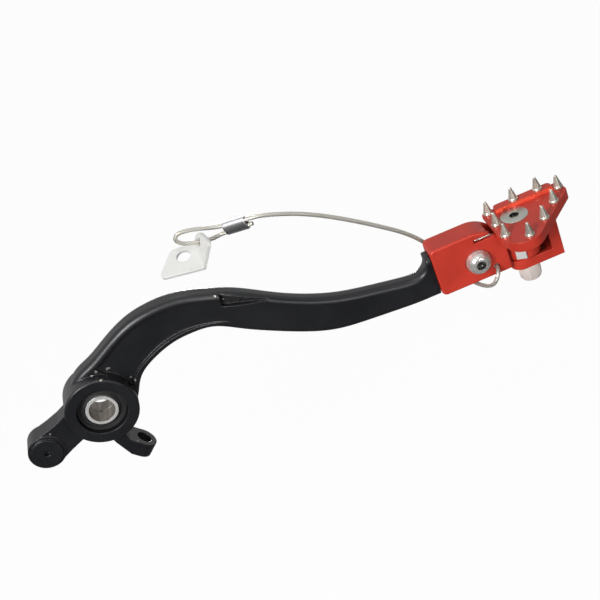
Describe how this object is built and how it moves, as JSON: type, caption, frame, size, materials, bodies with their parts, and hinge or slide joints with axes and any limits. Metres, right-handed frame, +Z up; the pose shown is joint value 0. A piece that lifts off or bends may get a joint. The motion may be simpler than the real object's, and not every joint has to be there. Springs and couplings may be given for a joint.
{
  "type": "rear brake pedal",
  "caption": "Rear brake pedal: curved black arm with a pivot boss, pushrod eye and spring ear, a sprung folding red toe tip with a spiked step plate, and a wire safety cable with a tab.",
  "frame": {"origin": "centre of the pivot bore, in the middle of the boss's length", "axes": "+X forward from the pivot to the toe tip, +Y along the pivot axis towards the machine, +Z up, square to the step plate"},
  "size_m": [0.2753, 0.0483, 0.0982],
  "materials": {
    "arm_black": "satin black coat on forged alloy",
    "bush_bronze": "turned",
    "seal_rubber": "matt",
    "red_alloy": "red anodised",
    "screw_steel": "bright",
    "spring_steel": "drawn wire",
    "stud_steel": "turned",
    "cable_steel": "stranded wire rope",
    "crimp_alloy": "pressed",
    "tab_zinc": "zinc plated sheet"
  },
  "bodies": {
    "pedal": {"pedal_arm": "arm_black", "outer_bush": "bush_bronze", "inner_bush": "bush_bronze", "outer_seal": "seal_rubber", "inner_seal": "seal_rubber", "toe_block": "red_alloy", "block_screws": "screw_steel", "fold_bolt": "screw_steel", "fold_sleeve": "screw_steel", "fold_washer": "screw_steel", "fold_nut": "screw_steel", "fold_spring": "spring_steel", "safety_cable": "cable_steel", "far_crimp": "crimp_alloy", "near_crimp": "crimp_alloy", "cable_tab": "tab_zinc"},
    "toe": {"toe_frame": "red_alloy", "step_plate": "red_alloy", "cleat_studs": "stud_steel", "plate_screw": "screw_steel", "plate_collar": "red_alloy", "set_screw": "screw_steel", "plate_washer": "screw_steel", "plate_nut": "screw_steel"}
  },
  "joints": [
    {"name": "toe_fold", "type": "hinge", "parent": "pedal", "child": "toe", "pos_m": [0.1841, -0.004, -0.003], "axis": [0, -1, 0], "range_deg": [0, 50], "stiffness_Nm_per_rad": 0.3, "springref_deg": -34.38, "deforming": ["fold_spring"]}
  ]
}
